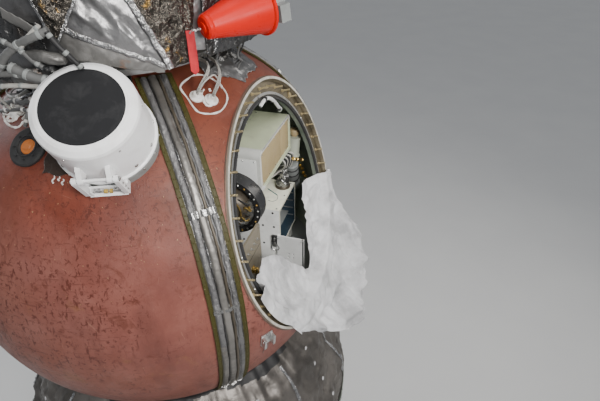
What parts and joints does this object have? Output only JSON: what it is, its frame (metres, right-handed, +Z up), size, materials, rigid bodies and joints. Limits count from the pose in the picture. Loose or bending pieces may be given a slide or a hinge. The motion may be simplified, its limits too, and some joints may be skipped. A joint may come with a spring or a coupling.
{
  "type": "recoverable research satellite",
  "caption": "Recoverable research satellite: spherical capsule with an open round hatch and an exposure container, on a service module, with a battery module on top.",
  "frame": {"origin": "centre of the underside of the aft adapter ring, which is the face the satellite stands on", "axes": "+Z up along the spacecraft's long axis; -Y is the side of the open hatch"},
  "size_m": [2.65, 2.578, 5.92],
  "materials": {
    "ablator": "charred brick-red heat shield with stains and scratches",
    "alloy_frame": "olive-brown anodised",
    "rubber_seal": "matte",
    "steel_studs": "passivated",
    "olive_strap": "olive-green paint",
    "foil_wrap": "crinkled foil",
    "white_paint": "satin",
    "dark_paint": "satin",
    "blanket": "crinkled metallised film",
    "grey_paint": "satin",
    "green_grey_paint": "satin",
    "bare_alloy": "satin",
    "nozzle_steel": "heat-tinted",
    "pale_green_paint": "satin",
    "cream_paint": "satin",
    "red_plastic": "gloss",
    "red_ribbon": "woven",
    "white_cloth": "soft",
    "cable_jacket": "braided sleeve"
  },
  "bodies": {
    "structure": {"aft_adapter_ring": "bare_alloy", "aft_skirt": "green_grey_paint", "aft_bulkhead": "grey_paint", "retro_engine": "grey_paint", "engine_nozzle": "nozzle_steel", "steering_nozzles": "nozzle_steel", "aft_tanks": "bare_alloy", "lower_cone": "blanket", "mid_section": "green_grey_paint", "upper_cone": "grey_paint", "radiator_panels": "white_paint", "seat_ring": "alloy_frame", "neck_blanket": "blanket", "thruster_blocks": "grey_paint", "antenna_brackets": "bare_alloy", "capsule_shell": "ablator", "hatch_ring": "alloy_frame", "hatch_seal": "rubber_seal", "hatch_studs": "steel_studs", "rear_hatch_cover": "ablator", "parachute_hatch_cover": "ablator", "tension_straps": "olive_strap", "strap_cable_runs": "foil_wrap", "strap_feet": "bare_alloy", "strap_top_ring": "bare_alloy", "drum_skirt": "grey_paint", "drum_tray": "bare_alloy", "drum_hinge_base": "white_paint", "signal_port": "rubber_seal", "skin_bracket": "bare_alloy", "battery_struts": "bare_alloy", "battery_base_ring": "alloy_frame", "battery_drum": "grey_paint", "battery_blanket": "blanket", "top_cover": "blanket", "lifting_lugs": "bare_alloy", "instrument_deck": "grey_paint", "deck_columns": "bare_alloy", "payload_box": "pale_green_paint", "rack_box": "white_paint", "upper_deck": "bare_alloy", "round_instrument": "dark_paint", "guide_plate": "cream_paint", "knob_panel": "alloy_frame", "feed_cable_1": "cable_jacket", "feed_cable_2": "cable_jacket", "feed_cable_3": "cable_jacket", "feed_cable_4": "cable_jacket", "cable_glands": "bare_alloy", "red_cover": "red_plastic", "sensor_housing": "grey_paint", "cover_tag": "red_ribbon", "sill_drape": "white_cloth"},
    "antenna_left": {"rod_antenna_left": "bare_alloy"},
    "antenna_right": {"rod_antenna_right": "bare_alloy"},
    "container_lid": {"drum_lid": "white_paint", "drum_lid_disc": "dark_paint", "drum_lid_tray": "bare_alloy", "drum_hinge_arms": "white_paint"}
  },
  "joints": [
    {"name": "drum_lid_hinge", "type": "hinge", "parent": "structure", "child": "container_lid", "pos_m": [-0.91483, -0.39968, 4.91333], "axis": [0.4003, -0.9164, 0], "range_deg": [0, 180]},
    {"name": "left_antenna_hinge", "type": "hinge", "parent": "structure", "child": "antenna_left", "pos_m": [-1.3, 0, 1.79], "axis": [0, 1, 0], "range_deg": [0, 110]},
    {"name": "right_antenna_hinge", "type": "hinge", "parent": "structure", "child": "antenna_right", "pos_m": [1.3, 0, 1.79], "axis": [0, -1, 0], "range_deg": [0, 110]}
  ]
}
